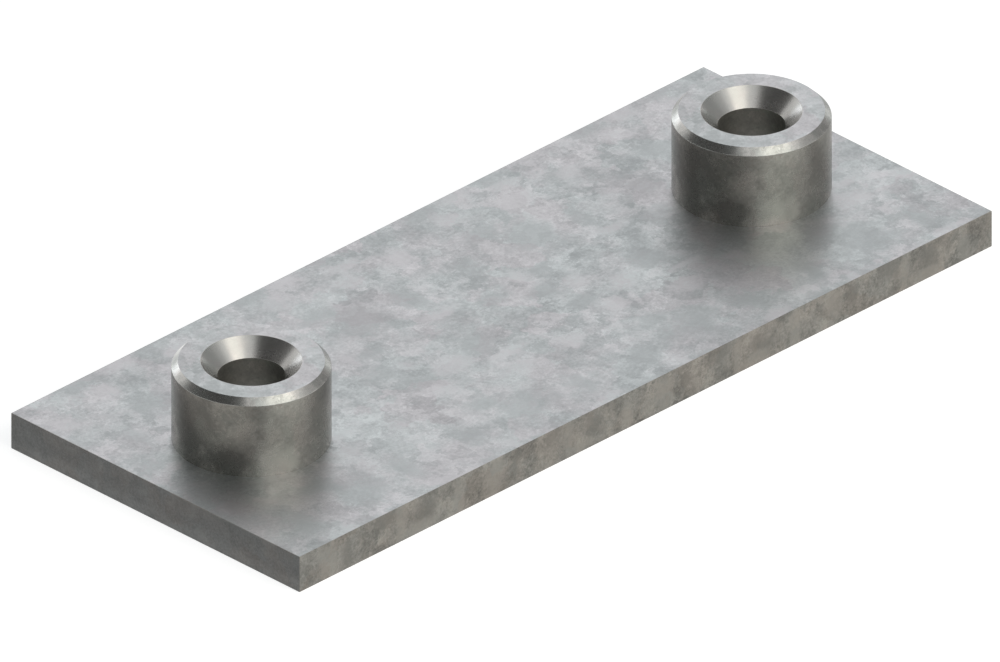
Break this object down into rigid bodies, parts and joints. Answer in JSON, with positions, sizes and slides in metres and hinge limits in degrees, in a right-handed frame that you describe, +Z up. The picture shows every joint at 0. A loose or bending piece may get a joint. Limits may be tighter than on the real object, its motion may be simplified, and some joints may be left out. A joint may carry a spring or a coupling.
{
  "type": "weld plate",
  "caption": "Flat rectangular weld plate with round threaded bosses that stand on its top face, for bolting a pipe clamp to a welded base.",
  "frame": {"origin": "middle of the underside, the face that is welded down", "axes": "+X along the plate's length through both bosses, +Y across its width, +Z up, the way the screws leave the bosses"},
  "size_m": [0.072, 0.03, 0.0095],
  "materials": {
    "galvanised_plate": "galvanised steel, dull satin with cloudy mottling",
    "galvanised_boss": "turned steel, galvanised, satin with brighter chamfers"
  },
  "bodies": {
    "root": {"plate": "galvanised_plate", "threaded_boss_left": "galvanised_boss", "threaded_boss_right": "galvanised_boss"}
  },
  "joints": []
}
